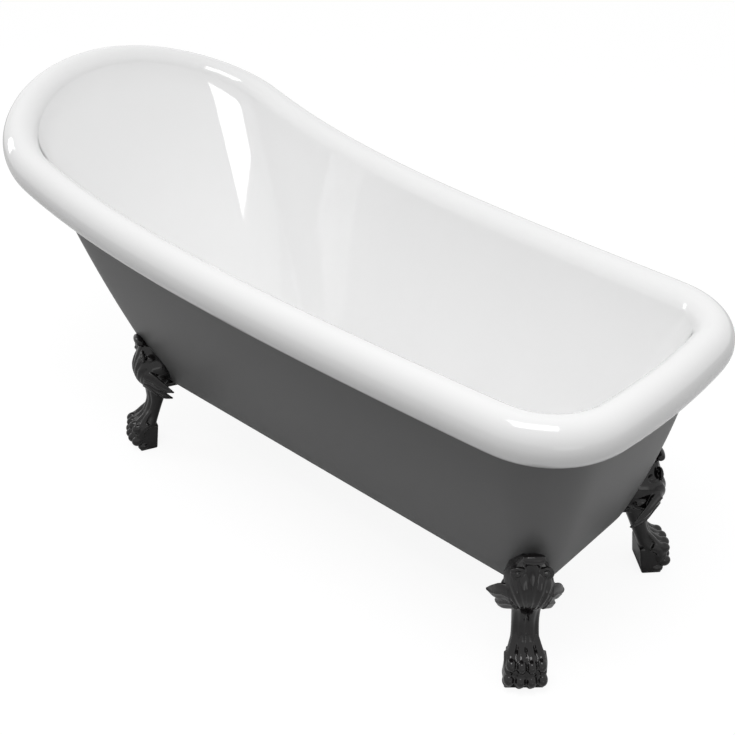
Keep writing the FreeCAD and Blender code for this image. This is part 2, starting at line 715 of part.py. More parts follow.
cover_gap = size("overflow_gap")
cover_face = cover_gap + size("overflow_cover")
cover = prism("overflow_disc", ROUND_SIDES, "sizes.overflow_radius", "sizes.overflow_cover",
              behind(-cover_face), square)
cover_tail = prism("overflow_tail", ROUND_SIDES, "sizes.tail_radius - 3",
                   "sizes.overflow_tail", behind(-cover_gap), square)
cover_slots = []
for number in range(5):
    slot_down = 9 * (number - 2)
    cover_slots.append(prism(f"overflow_slot_{number}", 8, "3",
                             "sizes.overflow_cover + sizes.overflow_tail",
                             behind(-cover_face, slot_down * 0.75), square))
joined("Part::Cut", "overflow_cover",
       joined("Part::MultiFuse", "cover_blank", cover, cover_tail),
       joined("Part::MultiFuse", "cover_slots", *cover_slots))
back_face = shell_wall + size("seal_gap")
ring("overflow_seal", "sizes.overflow_body", "sizes.tail_radius - 2.5", "sizes.seal_height",
     behind(back_face), ROUND_SIDES, ROUND_SIDES, square)
collector_face = back_face + size("seal_height")
collector = prism("collector_drum", ROUND_SIDES, "sizes.overflow_body", "sizes.overflow_depth",
                  behind(collector_face), square)
pipe_depth = collector_face + size("pipe_nut")
spigot_start = behind(pipe_depth, 12)
along_wall = Rotation(Vector(0, 0, 1), down_wall)
spigot = prism("collector_spigot", 16, "sizes.pipe_nut - 2", "28", spigot_start, along_wall)
hollow = prism("collector_hollow", ROUND_SIDES, "sizes.tail_radius - 2.7",
               "sizes.overflow_depth - 3", behind(collector_face), square)
spigot_bore = prism("spigot_bore", 16, "sizes.pipe_radius + 0.3", "34", spigot_start, along_wall)
joined("Part::Cut", "overflow_collector",
       joined("Part::MultiFuse", "collector_blank", collector, spigot),
       joined("Part::MultiFuse", "collector_bores", hollow, spigot_bore))
overflow_hole = bar(size("tail_radius") - 2.5, 60, Vector(0, 0, -20), ROUND_SIDES)
overflow_hole.Placement = Placement(overflow_face, square)
shell_shape = shell_shape.cut(overflow_hole)

# Overflow pipe down the gap between the shells and across to the waste body.
pipe_start = behind(pipe_depth, 26)
bend_drop = (pipe_start.z - 178) / -down_wall.z
bend = pipe_start + down_wall * bend_drop
pipe_line = [pipe_start, bend, Vector(bend.x - 6, 0, bend.z - 15),
             Vector(bend.x - 15, 0, inlet_height + 5), Vector(bend.x - 26, 0, inlet_height),
             Vector(inlet_end - 12, 0, inlet_height)]
pipe_radius = size("pipe_radius")
outside = tube([(place.x, place.z, pipe_radius) for place in pipe_line], 12)
inside = tube([(place.x, place.z, pipe_radius - size("pipe_wall")) for place in pipe_line], 12)
feature("overflow_pipe", outside.cut(inside))

# Compression nuts against the spigot's end and the inlet's end.
nut_up = ring("pipe_nut_up", "sizes.pipe_nut", "sizes.pipe_radius + 0.3",
              "sizes.pipe_nut_height", behind(pipe_depth, 40), 6, 16, along_wall)
nut_down = ring("pipe_nut_down", "sizes.pipe_nut", "sizes.pipe_radius + 0.3",
                "sizes.pipe_nut_height", Vector(inlet_end, 0, inlet_height), 6, 16, X_AXIS)
group("pipe_nuts", [nut_up, nut_down])
NODES += ["overflow_cover", "overflow_seal", "overflow_collector", "overflow_pipe", "pipe_nuts"]

feature("inner_shell", shell_shape)

# Checks and files ------------------------------------------------------------------

doc.recompute()
for piece in doc.Objects:
    if "Invalid" in piece.State or "Error" in piece.State:
        raise RuntimeError(piece.Label + " failed to build")
nodes = {label: doc.getObjectsByLabel(label)[0] for label in NODES}
for label, piece in nodes.items():
    if piece.Shape.isNull() or not piece.Shape.isValid():
        raise RuntimeError(label + " has no valid shape")
for label, piece in nodes.items():
    piece.Shape.exportStep(f"parts/{label}.step")
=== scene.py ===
import math

import bmesh
import bpy
import numpy as np
from mathutils import Matrix, Vector


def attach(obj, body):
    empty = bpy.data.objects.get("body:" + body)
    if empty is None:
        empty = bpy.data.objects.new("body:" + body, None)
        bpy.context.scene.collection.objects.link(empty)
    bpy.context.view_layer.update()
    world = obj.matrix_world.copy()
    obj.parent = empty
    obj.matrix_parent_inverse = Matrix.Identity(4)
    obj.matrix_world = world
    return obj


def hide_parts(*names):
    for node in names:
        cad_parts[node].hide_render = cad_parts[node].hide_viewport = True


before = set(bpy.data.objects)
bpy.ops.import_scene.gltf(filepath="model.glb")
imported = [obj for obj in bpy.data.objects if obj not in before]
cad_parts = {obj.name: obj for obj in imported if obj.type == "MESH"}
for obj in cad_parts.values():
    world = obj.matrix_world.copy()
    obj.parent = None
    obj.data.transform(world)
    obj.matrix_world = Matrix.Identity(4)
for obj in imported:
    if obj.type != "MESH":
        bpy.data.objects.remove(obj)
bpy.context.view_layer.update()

scene = bpy.context.scene
scene.view_settings.view_transform = "Standard"
UP = Vector((0, 0, 1))

# Camera: the photograph's view, from above the near corner of the low end. It stands
# close, so the foot end looks large and the head end small.
azimuth, elevation = math.radians(42.704), math.radians(32.168)
backwards = Vector((math.sin(azimuth) * math.cos(elevation),
                    -math.cos(azimuth) * math.cos(elevation), math.sin(elevation)))
camera = bpy.data.objects.new("camera", bpy.data.cameras.new("camera"))
camera.data.lens = 53.949
camera.data.sensor_width = 36
camera.data.clip_end = 60
camera.location = Vector((0.0771, 0.0220, 0.29346)) + backwards * 2.26302
camera.rotation_euler = backwards.to_track_quat("Z", "Y").to_euler()
scene.collection.objects.link(camera)
scene.camera = camera


# Studio: a white surround that the camera, gloss and metal see, while the soft light on
# the bath falls mostly from above, as under a large tent that is dimmer round its foot.
def seen_or_mirrored(tree):
    """Light Path: 1 for what the camera sees, straight or in gloss and glass."""
    path = tree.nodes.new("ShaderNodeLightPath")
    either = path.outputs["Is Camera Ray"]
    for kind in ("Is Glossy Ray", "Is Transmission Ray"):
        both = tree.nodes.new("ShaderNodeMath")
        both.operation = "MAXIMUM"
        tree.links.new(either, both.inputs[0])
        tree.links.new(path.outputs[kind], both.inputs[1])
        either = both.outputs[0]
    return either


world = bpy.data.worlds.new("studio")
scene.world = world
world.use_nodes = True
tree = world.node_tree
tree.nodes.clear()
direction = tree.nodes.new("ShaderNodeTexCoord")
split = tree.nodes.new("ShaderNodeSeparateXYZ")
tree.links.new(direction.outputs["Generated"], split.inputs[0])
height = tree.nodes.new("ShaderNodeMapRange")
height.inputs["From Min"].default_value = -0.1
height.inputs["From Max"].default_value = 0.8
tree.links.new(split.outputs["Z"], height.inputs["Value"])
tent = tree.nodes.new("ShaderNodeValToRGB")
tent.color_ramp.elements[0].color = (0.16, 0.16, 0.16, 1)
tent.color_ramp.elements[1].color = (1, 1, 1, 1)
tent.color_ramp.elements.new(0.35).color = (0.34, 0.34, 0.34, 1)
tree.links.new(height.outputs["Result"], tent.inputs["Fac"])
soft = tree.nodes.new("ShaderNodeBackground")
soft.inputs["Strength"].default_value = 0.70
tree.links.new(tent.outputs["Color"], soft.inputs["Color"])
plain = tree.nodes.new("ShaderNodeBackground")
plain.inputs["Color"].default_value = (1, 1, 1, 1)
mix = tree.nodes.new("ShaderNodeMixShader")
tree.links.new(seen_or_mirrored(tree), mix.inputs["Fac"])
tree.links.new(soft.outputs[0], mix.inputs[1])
tree.links.new(plain.outputs[0], mix.inputs[2])
output = tree.nodes.new("ShaderNodeOutputWorld")
tree.links.new(mix.outputs[0], output.inputs["Surface"])

for name, place, aim, wide, high, power in (
        ("panel_over", (0.8, -0.9, 3.1), (0, 0, 0.4), 1.6, 1.1, 33),
        ("panel_head", (-2.9, -1.1, 1.9), (-0.7, -0.1, 0.6), 0.45, 1.4, 9),
        ("panel_foot", (2.1, -1.0, 0.35), (0.7, -0.1, 0.45), 0.9, 0.3, 0.9)):
    lamp = bpy.data.objects.new(name, bpy.data.lights.new(name, "AREA"))
    lamp.data.shape = "RECTANGLE"
    lamp.data.size = wide
    lamp.data.size_y = high
    lamp.data.energy = power
    lamp.location = place
    lamp.rotation_euler = (Vector(place) - Vector(aim)).to_track_quat("Z", "Y").to_euler()
    scene.collection.objects.link(lamp)

# Floor: pale and plain. It glows for the camera, so that it meets the white background
# without an edge, and keeps only a faint shadow under the bath.
floor_mesh = bmesh.new()
bmesh.ops.create_grid(floor_mesh, x_segments=1, y_segments=1, size=9)
floor_data = bpy.data.meshes.new("floor")
floor_mesh.to_mesh(floor_data)
floor_mesh.free()
floor = bpy.data.objects.new("floor", floor_data)
scene.collection.objects.link(floor)
floor_paint = bpy.data.materials.new("floor_pale")
floor_paint.use_nodes = True
tree = floor_paint.node_tree
tree.nodes.clear()
matt = tree.nodes.new("ShaderNodeBsdfDiffuse")
matt.inputs["Color"].default_value = (0.42, 0.42, 0.42, 1)
white = tree.nodes.new("ShaderNodeBsdfDiffuse")
white.inputs["Color"].default_value = (0.9, 0.9, 0.9, 1)
faint = tree.nodes.new("ShaderNodeBsdfDiffuse")
faint.inputs["Color"].default_value = (0.16, 0.16, 0.16, 1)
glow = tree.nodes.new("ShaderNodeEmission")
glow.inputs["Color"].default_value = (0.9, 0.9, 0.9, 1)
lifted = tree.nodes.new("ShaderNodeAddShader")
tree.links.new(faint.outputs[0], lifted.inputs[0])
tree.links.new(glow.outputs[0], lifted.inputs[1])
path = tree.nodes.new("ShaderNodeLightPath")
mirrored = tree.nodes.new("ShaderNodeMixShader")
tree.links.new(seen_or_mirrored(tree), mirrored.inputs["Fac"])
tree.links.new(matt.outputs[0], mirrored.inputs[1])
tree.links.new(white.outputs[0], mirrored.inputs[2])
seen = tree.nodes.new("ShaderNodeMixShader")
tree.links.new(path.outputs["Is Camera Ray"], seen.inputs["Fac"])
tree.links.new(mirrored.outputs[0], seen.inputs[1])
tree.links.new(lifted.outputs[0], seen.inputs[2])
output = tree.nodes.new("ShaderNodeOutputMaterial")
tree.links.new(seen.outputs[0], output.inputs["Surface"])
floor_data.materials.append(floor_paint)


# Bathing shell: one moulding of white gloss acrylic. The basin flows over into a fat
# rolled rim that rises to the head, and the roll's lip turns in against the outer skin.
# Sizes are in millimetres and the head is at -X.
HEAD, SIDE, CORNER, END = 84, 26, 22, 10  # stations on each part of an outline
HALF_LENGTH = 738  # of the rim's line, which runs along the middle of the roll
FOOT_HEIGHT, HEAD_RISE, RISE_REACH = 581, 209, 335
ROLL_OUT, ROLL_UP = 37, 42  # half the roll's width and half its height
CREASE, LIP = 166, 75  # degrees up over the roll to the basin, and down to its lip
FLOOR_FOOT, FLOOR_TOP, FLOOR_UNDER, WALL = 556, 188, 180, 8
SKIN_LOW, BULGE = 158.0, 14
WASTE = (470, 0, 0)


def outline(head_x, foot_x, head_half, foot_half, head_round, corner, bow=0.0):
    """Plan outline in millimetres: half ellipse at the head, rounded corners at the foot.

    Gives the stations and the outward normals there.
    """
    points = []
    ellipse_x = head_x + head_round
    for step in range(HEAD + 1):
        turn = math.pi * (0.5 + step / HEAD)
        points.append((ellipse_x + head_round * math.cos(turn), head_half * math.sin(turn)))
    corner_x = foot_x - bow - corner
    side = []
    for step in range(1, SIDE):
        part = step / SIDE
        side.append((ellipse_x + (corner_x - ellipse_x) * part,
                     -(head_half + (foot_half - head_half) * part)))
    for step in range(CORNER + 1):
        turn = math.pi / 2 * (step / CORNER - 1)
        side.append((corner_x + corner * math.cos(turn),
                     corner - foot_half + corner * math.sin(turn)))
    points += side
    for step in range(1, END):
        across = 2 * step / END - 1
        points.append((foot_x - bow * across ** 2, across * (foot_half - corner)))
    points += [(x, -y) for x, y in reversed(side)]
    plan = np.array(points)
    for _ in range(5):
        plan = plan * 0.5 + (np.roll(plan, 1, 0) + np.roll(plan, -1, 0)) * 0.25
    along = np.roll(plan, -1, 0) - np.roll(plan, 1, 0)
    normals = np.stack([along[:, 1], -along[:, 0], np.zeros(len(plan))], 1)
    normals /= np.linalg.norm(normals, axis=1)[:, None]
    return np.column_stack([plan, np.zeros(len(plan))]), normals


rim_line, rim_normals = outline(-HALF_LENGTH, HALF_LENGTH, 312, 265, 225, 131, 7)
rim_line[:, 2] = (FOOT_HEIGHT - ROLL_UP
                  + HEAD_RISE * np.exp((-HALF_LENGTH - rim_line[:, 0]) / RISE_REACH))
skin_line, skin_normals = outline(-452, 638, 161, 163, 100, 55)
floor_line, floor_normals = outline(-300, FLOOR_FOOT, 128, 137, 120, 80)
RISE = np.array([0.0, 0.0, 1.0])


def roll_ring(turn, shrink=0.0):
    """Ring on the roll, turn degrees round it from straight outwards."""
    turn = math.radians(turn)
    return (rim_line + rim_normals * ((ROLL_OUT - shrink) * math.cos(turn))
            + RISE * ((ROLL_UP - shrink) * math.sin(turn)))


def skin_ring(out, heights):
    """Ring on the outer skin's bulging wall, or out from it, at each station's height."""
    low = skin_line + skin_normals * out + RISE * SKIN_LOW
    inset = -30 + 17 * (rim_line[:, 0] + HALF_LENGTH) / (2 * HALF_LENGTH)
    high = rim_line + rim_normals * (inset + out)[:, None]
    share = ((heights - SKIN_LOW) / (high[:, 2] - SKIN_LOW))[:, None]
    return low + (high - low) * share + rim_normals * (BULGE * 4 * share * (1 - share))


def edge_rings(out, height, wall_top, radius, steps):
    """Rings from the wall round into the floor, as arcs in upright planes."""
    corners = floor_line + floor_normals * out + RISE * height
    upward = wall_top - corners
    upward /= np.linalg.norm(upward, axis=1)[:, None]
    inward = -floor_normals
    opening = np.arccos(np.sum(upward * inward, 1))
    bisector = upward + inward
    bisector /= np.linalg.norm(bisector, axis=1)[:, None]
    across = upward - inward
    across /= np.linalg.norm(across, axis=1)[:, None]
    centre = corners + bisector * (radius / np.sin(opening / 2))[:, None]
    rings = []
    for step in range(steps + 1):
        spread = ((math.pi - opening) * (step / steps - 0.5))[:, None]
        rings.append(centre - (bisector * np.cos(spread) + across * np.sin(spread)) * radius)
    return rings


def joined(mesh, part):
    """Puts a part, shaped in a bmesh of its own, into another bmesh."""
    data = bpy.data.meshes.new("part")
    part.to_mesh(data)
    part.free()
    mesh.from_mesh(data)
    bpy.data.meshes.remove(data)


def lofted(mesh, rings, caps=False):
    """A grid wrapped through closed rings of points in millimetres, seam merged."""
    part = bmesh.new()
    count = len(rings[0])
    bmesh.ops.create_grid(part, x_segments=count, y_segments=len(rings) - 1, size=1)
    part.verts.ensure_lookup_table()
    made = part.verts[:]
    for row, ring in enumerate(rings):
        for column in range(count + 1):
            point = ring[column % count]
            made[row * (count + 1) + column].co = Vector(point) * 0.001
    ends = [made[:count], made[-count - 1:-1]] if caps else []
    for end in ends:
        part.faces.new(end)
    bmesh.ops.remove_doubles(part, verts=part.verts, dist=1e-6)
    joined(mesh, part)


def filled(mesh, height):
    """Flat face between the open rows of edges at a height in millimetres."""
    edges = [edge for edge in mesh.edges if edge.is_boundary
             and all(abs(vert.co.z - height * 0.001) < 1e-5 for vert in edge.verts)]
    bmesh.ops.triangle_fill(mesh, use_beauty=True, edges=edges)


def finish(name, color, rough, metal=0.0, coat=0.0, specular=0.5, spot=40.0, shade=0.04,
           rough_spread=0.04, grain=900.0, relief=0.02, stretch=(1, 1, 1)):
    """Principled material whose tone, roughness and relief vary over the piece."""
    paint = bpy.data.materials.new(name)
    paint.use_nodes = True
    tree = paint.node_tree
    shader = tree.nodes["Principled BSDF"]
    shader.inputs["Metallic"].default_value = metal
    shader.inputs["Coat Weight"].default_value = coat
    shader.inputs["Coat Roughness"].default_value = 0.04
    shader.inputs["Specular IOR Level"].default_value = specular
    where = tree.nodes.new("ShaderNodeTexCoord")
    turn = tree.nodes.new("ShaderNodeMapping")
    turn.inputs["Scale"].default_value = stretch
    tree.links.new(where.outputs["Object"], turn.inputs["Vector"])
    cloud = tree.nodes.new("ShaderNodeTexNoise")
    cloud.inputs["Scale"].default_value = spot
    cloud.inputs["Detail"].default_value = 4
    tree.links.new(turn.outputs[0], cloud.inputs["Vector"])
    tone = tree.nodes.new("ShaderNodeMix")
    tone.data_type = "RGBA"
    tone.inputs["A"].default_value = (*[c * (1 - shade) for c in color], 1)
    tone.inputs["B"].default_value = (*[min(1, c * (1 + shade)) for c in color], 1)
    tree.links.new(cloud.outputs["Fac"], tone.inputs["Factor"])
    tree.links.new(tone.outputs["Result"], shader.inputs["Base Color"])
    spread = tree.nodes.new("ShaderNodeMapRange")
    spread.inputs["To Min"].default_value = max(0.01, rough - rough_spread)
    spread.inputs["To Max"].default_value = rough + rough_spread
    tree.links.new(cloud.outputs["Fac"], spread.inputs["Value"])
    tree.links.new(spread.outputs["Result"], shader.inputs["Roughness"])
    fine = tree.nodes.new("ShaderNodeTexNoise")
    fine.inputs["Scale"].default_value = grain
    fine.inputs["Detail"].default_value = 3
    tree.links.new(turn.outputs[0], fine.inputs["Vector"])
    bump = tree.nodes.new("ShaderNodeBump")
    bump.inputs["Strength"].default_value = relief
    bump.inputs["Distance"].default_value = 0.001
    tree.links.new(fine.outputs["Fac"], bump.inputs["Height"])
    tree.links.new(bump.outputs[0], shader.inputs["Normal"])
    return paint


def piece(name, mesh, paint, body, slot, *nodes, sharp=35):
    """Object from a bmesh: recalculated normals, smooth but for its sharp edges."""
    bmesh.ops.remove_doubles(mesh, verts=mesh.verts, dist=1e-6)
    bmesh.ops.recalc_face_normals(mesh, faces=mesh.faces)
    data = bpy.data.meshes.new(name)
    mesh.to_mesh(data)
    mesh.free()
    for face in data.polygons:
        face.use_smooth = True
    data.set_sharp_from_angle(angle=math.radians(sharp))
    data.materials.append(paint)
    made = bpy.data.objects.new(name, data)
    scene.collection.objects.link(made)
    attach(made, body)
    if nodes:
        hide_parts(*nodes)
    return made


def cutter(mesh):
    """Closed mesh that only cuts, and is removed after its cut."""
    bmesh.ops.recalc_face_normals(mesh, faces=mesh.faces)
    data = bpy.data.meshes.new("cutter")
    mesh.to_mesh(data)
    mesh.free()
    made = bpy.data.objects.new("cutter", data)
    scene.collection.objects.link(made)
    return made


def trimmed(target, cutters, sharp=35, solver="EXACT"):
    """Cuts meshes out of an object for good."""
    for tool in cutters:
        cut = target.modifiers.new("cut", "BOOLEAN")
        cut.operation = "DIFFERENCE"
        cut.solver = solver
        cut.object = tool
    data = bpy.data.meshes.new_from_object(
        target.evaluated_get(bpy.context.evaluated_depsgraph_get()))
    target.modifiers.clear()
    target.data = data
    data.name = target.name
    for face in data.polygons:
        face.use_smooth = True
    data.set_sharp_from_angle(angle=math.radians(sharp))


def spun(mesh, profile, base=WASTE, axis=UP, steps=64):
    """Spins a profile of (radius, height) in millimetres round an axis through base."""
    part = bmesh.new()
    verts = [part.verts.new((radius * 0.001, 0, height * 0.001)) for radius, height in profile]
    edges = [part.edges.new(pair) for pair in zip(verts, verts[1:])]
    bmesh.ops.spin(part, geom=verts + edges, cent=(0, 0, 0), axis=UP, dvec=(0, 0, 0),
                   angle=2 * math.pi, steps=steps, use_merge=True, use_duplicate=False)
    bmesh.ops.remove_doubles(part, verts=part.verts, dist=1e-6)
    turn = UP.rotation_difference(Vector(axis)).to_matrix().to_4x4()
    bmesh.ops.transform(part, matrix=Matrix.Translation(Vector(base) * 0.001) @ turn,
                        verts=part.verts)
    joined(mesh, part)


wet_top = roll_ring(CREASE)
edge = edge_rings(0, FLOOR_TOP, wet_top, 50, 12)
rings = edge[::-1]
for step in range(1, 12):
    share = step / 12
    rings.append(edge[0] * (1 - share) + wet_top * share)
for step in range(61):
    rings.append(roll_ring(CREASE - (CREASE + LIP) * step / 60))
lip = rim_line[:, 2] - ROLL_UP * math.sin(math.radians(LIP))
rings.append(skin_ring(1.5, lip - 0.4))
rings.append(skin_ring(0.3, lip + 0.8))
rings.append(skin_ring(0.3, lip + 6))
for step in range(13):
    rings.append(roll_ring(-60 + 206 * step / 12, WALL))
crease = math.radians(CREASE)
dry_top = (rim_line + rim_normals * (ROLL_OUT * math.cos(crease) + WALL)
           + RISE * (ROLL_UP * math.sin(crease)))
rings.append(dry_top)
rings += edge_rings(WALL, FLOOR_UNDER, dry_top, 58, 8)
mesh = bmesh.new()
lofted(mesh, rings)
spun(mesh, [(21.5, FLOOR_TOP), (21.5, FLOOR_UNDER)])
filled(mesh, FLOOR_TOP)
filled(mesh, FLOOR_UNDER)
acrylic = finish("acrylic_white", (0.92, 0.92, 0.92), 0.06, coat=0.5, spot=5, shade=0.012,
                 rough_spread=0.02, grain=55, relief=0.02)
bath_shell = piece("bathing_shell", mesh, acrylic, "bath", "acrylic", "inner_shell", sharp=50)

# The overflow's hole goes square through the wall at the foot end.
OVERFLOW_HEIGHT = 430
wall_foot = Vector((FLOOR_FOOT, 0, FLOOR_TOP))
wall_head = Vector((HALF_LENGTH + ROLL_OUT * math.cos(crease), 0,
                    FOOT_HEIGHT - ROLL_UP + ROLL_UP * math.sin(crease)))
down_wall = (wall_foot - wall_head).normalized()
through = Vector((-down_wall.z, 0, down_wall.x))
overflow_face = wall_head + down_wall * ((wall_head.z - OVERFLOW_HEIGHT) / -down_wall.z)
mesh = bmesh.new()
spun(mesh, [(0, -30), (18.5, -30), (18.5, 30), (0, 30)], overflow_face, through)
hole = cutter(mesh)
trimmed(bath_shell, [hole], sharp=50)
bpy.data.objects.remove(hole)

# Outer skin: a separate shell in satin grey. Its walls bulge a little and end inside the
# roll, its flat bottom has a crisp edge, and an opening there gives access to the waste.
BELOW_ROLL = 14  # from the middle of the roll down to the skin's top edge
EDGE_ROUND, SKIN_WALL = 2.2, 4
SKIN_FLOOR = SKIN_LOW + SKIN_WALL
span = rim_line[:, 2] - BELOW_ROLL - SKIN_LOW
rings = [skin_line + skin_normals * -EDGE_ROUND + RISE * SKIN_LOW]
for turn in (30, 60, 90):
    turn = math.radians(turn)
    rings.append(skin_ring(EDGE_ROUND * (math.sin(turn) - 1), np.full(len(rim_line), SKIN_LOW))
                 + RISE * (EDGE_ROUND * (1 - math.cos(turn))))
for step in range(1, 31):
    rings.append(skin_ring(0, SKIN_LOW + EDGE_ROUND + (span - EDGE_ROUND) * step / 30))
for step in range(30, -1, -1):
    rings.append(skin_ring(-SKIN_WALL, SKIN_FLOOR + (span - SKIN_WALL) * step / 30))
mesh = bmesh.new()
lofted(mesh, rings)
opening = []
for corner_x, corner_y, start in ((591, 30, 0), (445, 30, 90), (445, -30, 180), (591, -30, 270)):
    for step in range(9):
        turn = math.radians(start + 90 * step / 8)
        opening.append((corner_x + 20 * math.cos(turn), corner_y + 20 * math.sin(turn), 0))
opening = np.array(opening)
lofted(mesh, [opening + RISE * SKIN_LOW, opening + RISE * SKIN_FLOOR])
filled(mesh, SKIN_LOW)
filled(mesh, SKIN_FLOOR)
skin_paint = finish("skin_grey", (0.150, 0.150, 0.151), 0.40, specular=0.3, spot=7, shade=0.04,
                    rough_spread=0.05, grain=1500, relief=0.05)
piece("grey_skin", mesh, skin_paint, "bath", "skin", "outer_skin", sharp=50)

# Claw feet: castings in gloss black paint, all from one pattern. A paw of four toes on a
# heel block, a fluted leg, and an acanthus knee with leaves, volutes and a scroll on top.
mould = bmesh.new()


def ball(place, radii, tilt=0.0):
    """Ellipsoid in the casting; the heel is at 0, +X points outwards and Y is the width."""
    grown = (Matrix.Translation(Vector(place) * 0.001) @ Matrix.Rotation(tilt, 4, "Y")
             @ Matrix.Diagonal((*[radius * 0.001 for radius in radii], 1)))
    bmesh.ops.create_icosphere(mould, subdivisions=3, radius=1, matrix=grown)


def swept(places, sizes, count=20):
    """Closed tube or leaf along places; each size is (half height, half thickness)."""
    places = [Vector(place) for place in places]
    rings = []
    side = Vector((0, 0, 0))
    for index, place in enumerate(places):
        ahead = places[min(index + 1, len(places) - 1)]
        heading = (ahead - places[max(index - 1, 0)]).normalized()
        across = heading.cross(UP)
        if across.length < 0.2:
            across = heading.cross(Vector((1, 0, 0)))
        across.normalize()
        side = -across if across.dot(side) < 0 else across
        top = side.cross(heading)
        tall, thick = sizes[index]
        rings.append([place + top * (tall * math.cos(2 * math.pi * step / count))
                      + side * (thick * math.sin(2 * math.pi * step / count))
                      for step in range(count)])
    lofted(mould, rings, caps=True)


def smooth_path(points, count):
    """Numbers on a soft curve through rows of numbers."""
    points = np.array(points, float)
    padded = np.vstack([2 * points[0] - points[1], points, 2 * points[-1] - points[-2]])
    out = []
    for part in np.linspace(0, len(points) - 1, count):
        index = min(int(part), len(points) - 2)
        t = part - index
        a, b, c, d = padded[index:index + 4]
        out.append(0.5 * (2 * b + (c - a) * t + (2 * a - 5 * b + 4 * c - d) * t ** 2
                          + (3 * b - a - 3 * c + d) * t ** 3))
    return np.array(out)


# Leg and knee in level sections: height, back, front, half width, depth of the leg's
# three grooves, height of the knee's ribs, which run together towards the leaf's tip.
sections = smooth_path([
    (44, -2, 36, 31, 0, 0), (60, -9, 32, 31, 0, 0), (70, -13, 26, 28.5, 0.5, 0),
    (84, -19, 17, 25, 1.8, 0), (104, -27, 8, 24, 2.6, 0), (118, -33, 4.5, 24, 2.6, 0),
    (134, -40, 5, 24.5, 2.4, 0), (148, -46, 6.5, 26, 1.2, 0), (158, -50, 10, 28, 0, 0),
    (165, -54, 17, 33, 0, 1.5), (176, -58, 24, 38, 0, 2.6), (192, -60, 27.5, 41.5, 0, 3.0),
    (208, -60, 26.5, 41, 0, 3.0), (224, -58, 21, 35, 0, 2.8), (238, -54, 15, 26, 0, 2.4),
    (249, -50, 11, 19, 0, 1.6), (257, -46, 9, 14, 0, 0)], 150)
rings = []
for height, back, front, half_width, groove, rib in sections:
    ring = []
    for step in range(120):
        turn = 2 * math.pi * step / 120
        along, across = math.cos(turn), math.sin(turn)
        along = math.copysign(abs(along) ** 0.75, along)
        across = math.copysign(abs(across) ** 0.75, across)
        x = (back + front + (front - back) * along) / 2
        if along > 0:
            spots = sum(math.exp(-((across - spot) / 0.13) ** 2) for spot in (-0.66, 0, 0.66))
            fan = half_width * across / (2.6 + 0.095 * (height - 160))
            x -= (groove * spots + rib * abs(math.sin(math.pi * fan / 2)) ** 3) \
                * min(1, along * 1.6)
        ring.append((x, half_width * across, height))
    rings.append(ring)
lofted(mould, rings, caps=True)

# Heel block with its back leaning in and a crisp ledge on top, and the lug that the foot
# bolts go through, flat under the skin's bottom.
for base, top, low, high, bevel in (
        (((1, -35.5), (40, 35.5)), ((-8, -30), (26, 30)), 0, 57, 2.4),
        (((-106, -24), (-30, 24)), ((-106, -24), (-30, 24)), 148, 157.6, 1.2)):
    made = bmesh.ops.create_cube(mould, size=1)
    for vert in made["verts"]:
        near, far = top if vert.co.z > 0 else base
        vert.co = Vector(((near if vert.co.x < 0 else far)[0],
                          (near if vert.co.y < 0 else far)[1],
                          high if vert.co.z > 0 else low)) * 0.001
    edges = {edge for vert in made["verts"] for edge in vert.link_edges}
    bmesh.ops.bevel(mould, geom=list(edges), offset=bevel * 0.001, segments=3, profile=0.5,
                    affect="EDGES", material=-1)

# The paw's body under its toes, then four toes: short tendon, upper and lower knuckle,
# and the end tucked under.
ball((24, 0, 56), (20, 35, 17))
ball((34, 0, 30), (17, 35, 26))
for place, setback in ((-29, 4), (-9.7, 0), (9.7, 0), (29, 4)):
    upper = place * 0.9
    ball((43 - setback, upper, 57), (13, 9.6, 12), 0.3)
    ball((43 - setback, place, 42), (8, 8, 8))
    ball((47.5 - setback, place, 27), (13, 9.9, 12.5))
    ball((35 - setback, place, 10), (13, 9.4, 9.6))
    swept(smooth_path([(3, place * 0.62, 94), (16, place * 0.76, 80),
                       (31 - setback, upper, 67), (42 - setback, upper, 60)], 12),
          [(3 + 4.5 * k / 11, 5 + 3.8 * k / 11) for k in range(12)])
    swept(smooth_path([(38 - setback, place, 30), (38 - setback, place * 1.01, 44),
                       (28, place * 1.02, 56), (14, place * 0.98, 64)], 12),
          [(9, 8.4) for k in range(12)])

# Leaves and volutes: on each side an upper lobe sweeps back to a point at the height of
# the skin's bottom and a lower one to a point under it, both ribbed and veined, with a
# volute above them. Small leaf tips hang round the knee's lower edge.
for side in (-1, 1):
    for route, tall, thick in (
            (((8, 32, 192), (-4, 43, 187), (-16, 53, 176), (-31, 61, 165), (-45, 66.5, 158)),
             17, 6.5),
            (((8, 26, 176), (-2, 35, 167), (-14, 43, 154), (-30, 48, 141), (-45, 49, 133)),
             14, 6.5)):
        line = smooth_path([(x, y * side, z) for x, y, z in route], 22)
        swept(line, [(tall * (1 - (k / 21) ** 2.2) + 0.7, thick * (1 - k / 21) + 1.0)
                     for k in range(22)])
        swept(line + np.array([2.5, 1.5 * side, 0]),
              [(2.8 - 1.8 * k / 21, 6 * (1 - k / 21) + 1.4) for k in range(22)])
        for lean in (-1, 1):
            vein = line[3:15] + np.array([(3, 1.5 * side, lean * tall * 0.03 * k)
                                          for k in range(12)])
            swept(vein, [(1.5, 4.5 - 0.3 * k) for k in range(12)])
    curl = [(6 + 3.2 * k / 30, side * (24.5 + (11.5 - 0.16 * k) * math.cos(turn)),
             238 + (12 - 0.17 * k) * math.sin(turn))
            for k in range(31) for turn in [math.radians(200 - 14 * k)]]
    swept(curl, [(4.0 - 0.03 * k, 4.0 - 0.03 * k) for k in range(31)], 14)
    ball((9, 24.5 * side, 238), (5.5, 5, 5))
    ball((-8, 23 * side, 228), (14, 11, 12))
    ball((-20, 28 * side, 180), (24, 19, 20))
